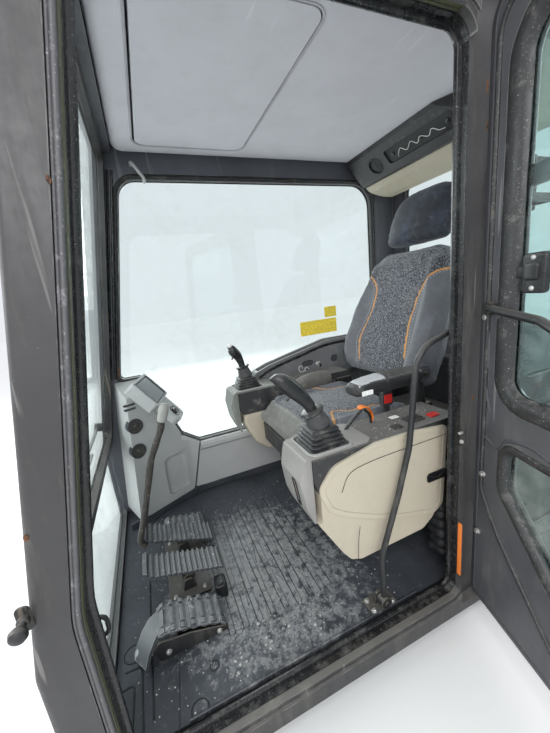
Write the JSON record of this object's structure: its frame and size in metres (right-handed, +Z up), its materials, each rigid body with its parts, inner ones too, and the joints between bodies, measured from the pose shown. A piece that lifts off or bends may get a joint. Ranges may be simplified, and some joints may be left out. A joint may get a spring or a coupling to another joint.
{
  "type": "excavator operator's cab",
  "caption": "Enclosed operator's cab of a tracked excavator with an opening door, a sliding seat, control consoles, travel pedals, a roof hatch and a windshield wiper.",
  "frame": {"origin": "centre of the rectangle of mounting bolts, on the underside of the base", "axes": "+X forwards through the windshield, +Y to the operator's left (door side), +Z up"},
  "size_m": [1.682, 2.0269, 1.725],
  "materials": {
    "structure_paint": "satin, worn",
    "door_paint": "satin, scuffed",
    "dark_metal": "semi-gloss, chipped",
    "worn_steel": "worn bare",
    "lining": "fine grain",
    "grey_plastic": "fine grain",
    "dark_plastic": "satin grain",
    "beige_plastic": "dusty",
    "black_rubber": "dusty",
    "seat_fabric": "speckled weave",
    "seat_vinyl": "smooth",
    "clear_glass": "clear"
  },
  "bodies": {
    "cab": {"base_frame": "structure_paint", "left_side_frame": "structure_paint", "right_side_frame": "structure_paint", "rear_panel": "structure_paint", "front_frame": "structure_paint", "roof_panel": "structure_paint", "headliner": "lining", "windshield_frame": "dark_metal", "windshield_glass": "clear_glass", "lower_front_glass": "clear_glass", "right_window": "clear_glass", "rear_window": "clear_glass", "left_quarter_window": "clear_glass", "floor_mat": "black_rubber", "front_corner_trim": "grey_plastic", "monitor": "grey_plastic", "right_wall_trim": "grey_plastic", "switch_tray": "dark_plastic", "right_console": "dark_plastic", "right_console_panel": "beige_plastic", "right_console_bezel": "dark_plastic", "left_console": "dark_plastic", "left_console_bezel": "grey_plastic", "left_console_panel": "beige_plastic", "seat_pedestal": "dark_metal", "storage_box": "dark_plastic", "lever_bracket": "dark_metal", "pedal_base": "dark_metal", "auxiliary_pedal": "worn_steel", "small_pedal": "black_rubber", "rear_overhead_console": "beige_plastic", "rear_overhead_panel": "dark_plastic", "overhead_hook": "grey_plastic", "door_hinges": "dark_metal", "left_joystick": "dark_plastic", "left_joystick_boot": "black_rubber", "right_joystick": "dark_plastic", "right_joystick_boot": "black_rubber"},
    "door": {"door_frame": "door_paint", "door_upper_glass": "clear_glass", "door_lower_glass": "clear_glass", "door_grab_bar": "dark_metal", "door_latch": "dark_plastic"},
    "hatch": {"roof_hatch": "lining"},
    "gate_lever": {"gate_lock_lever": "dark_metal"},
    "seat": {"seat_slide": "dark_metal", "seat_cushion": "seat_fabric", "seat_belt_buckle": "dark_plastic"},
    "back": {"seat_backrest": "seat_fabric", "headrest": "seat_vinyl"},
    "armrest": {"left_armrest": "seat_vinyl"},
    "right_pedal": {"right_travel_pedal": "worn_steel"},
    "left_pedal": {"left_travel_pedal": "worn_steel"},
    "wiper_arm": {"wiper": "dark_metal"}
  },
  "joints": [
    {"name": "door_hinge", "type": "hinge", "parent": "cab", "child": "door", "pos_m": [-0.226, 0.562, 0.75], "axis": [0, 0, 1], "range_deg": [-72, 98]},
    {"name": "hatch_hinge", "type": "hinge", "parent": "cab", "child": "hatch", "pos_m": [0.024, 0, 1.712], "axis": [0, -1, 0], "range_deg": [0, 75]},
    {"name": "gate_lever_pivot", "type": "hinge", "parent": "cab", "child": "gate_lever", "pos_m": [0.077, 0.431, 0.118], "axis": [0, 1, 0], "range_deg": [0, 32]},
    {"name": "seat_slide", "type": "slide", "parent": "cab", "child": "seat", "axis": [1, 0, 0], "range_m": [-0.06, 0.06]},
    {"name": "backrest_recline", "type": "hinge", "parent": "seat", "child": "back", "pos_m": [-0.27, 0, 0.56], "axis": [0, -1, 0], "range_deg": [-30, 10]},
    {"name": "armrest_tilt", "type": "hinge", "parent": "seat", "child": "armrest", "pos_m": [-0.232, 0.276, 0.706], "axis": [0, -1, 0], "range_deg": [0, 80]},
    {"name": "right_pedal_pivot", "type": "hinge", "parent": "cab", "child": "right_pedal", "pos_m": [0.585, -0.1, 0.122], "axis": [0, 1, 0], "range_deg": [-9, 9], "stiffness_Nm_per_rad": 30},
    {"name": "left_pedal_pivot", "type": "hinge", "parent": "cab", "child": "left_pedal", "pos_m": [0.585, 0.069, 0.122], "axis": [0, 1, 0], "range_deg": [-9, 9], "stiffness_Nm_per_rad": 30},
    {"name": "wiper_sweep", "type": "hinge", "parent": "cab", "child": "wiper_arm", "pos_m": [0.80881, -0.372, 0.55798], "axis": [0.985, 0, 0.1724], "range_deg": [0, 85]}
  ]
}
